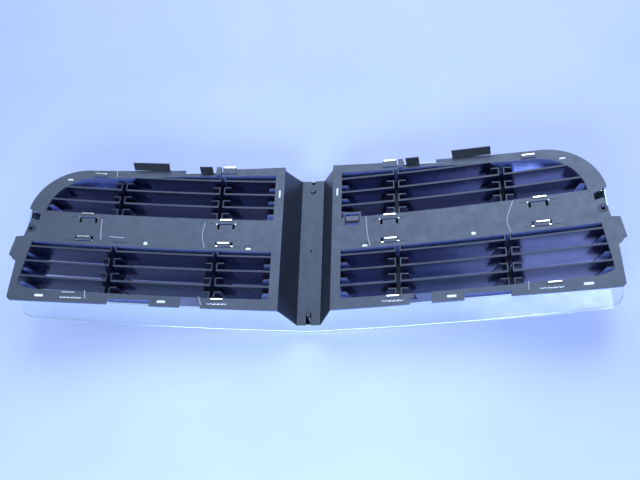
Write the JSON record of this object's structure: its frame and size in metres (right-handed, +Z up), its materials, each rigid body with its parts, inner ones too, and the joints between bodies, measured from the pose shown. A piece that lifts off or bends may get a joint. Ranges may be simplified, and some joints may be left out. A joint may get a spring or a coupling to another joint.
{
  "type": "front grille",
  "caption": "Wide swept front grille: bright surround and crossbars over two black louvred inserts joined by a deep centre channel.",
  "frame": {"origin": "midway between the two end fixing holes, in the plane of the rear faces of their bosses", "axes": "+X to the left of the car, along the line through the two end fixing holes; +Y to the rear of the car, along those holes; +Z up"},
  "size_m": [1.1946, 0.1742, 0.3413],
  "materials": {
    "insert_plastic": "semi-gloss black moulding",
    "channel_plastic": "semi-gloss black moulding",
    "bright_trim": "bright plated",
    "screw_steel": "black zinc",
    "tab_plastic": "matt black",
    "latch_plastic": "grey moulding"
  },
  "bodies": {
    "root": {"band_bottom_hooks": "bright_trim", "band_top_hooks": "bright_trim", "center_bar": "bright_trim", "center_channel": "channel_plastic", "center_screws": "screw_steel", "chrome_surround": "bright_trim", "crossbar_left": "bright_trim", "crossbar_right": "bright_trim", "insert_plate_left": "insert_plastic", "insert_plate_right": "insert_plastic", "latch_block": "latch_plastic", "lower_border_hooks": "bright_trim", "lower_column_walls_left": "insert_plastic", "lower_column_walls_right": "insert_plastic", "lower_louvers_left": "insert_plastic", "lower_louvers_right": "insert_plastic", "lower_opening_walls_left": "insert_plastic", "lower_opening_walls_right": "insert_plastic", "narrow_seal_tabs": "tab_plastic", "upper_border_hooks": "bright_trim", "upper_column_walls_left": "insert_plastic", "upper_column_walls_right": "insert_plastic", "upper_louvers_left": "insert_plastic", "upper_louvers_right": "insert_plastic", "upper_opening_walls_left": "insert_plastic", "upper_opening_walls_right": "insert_plastic", "wide_seal_tabs": "tab_plastic"}
  },
  "joints": []
}
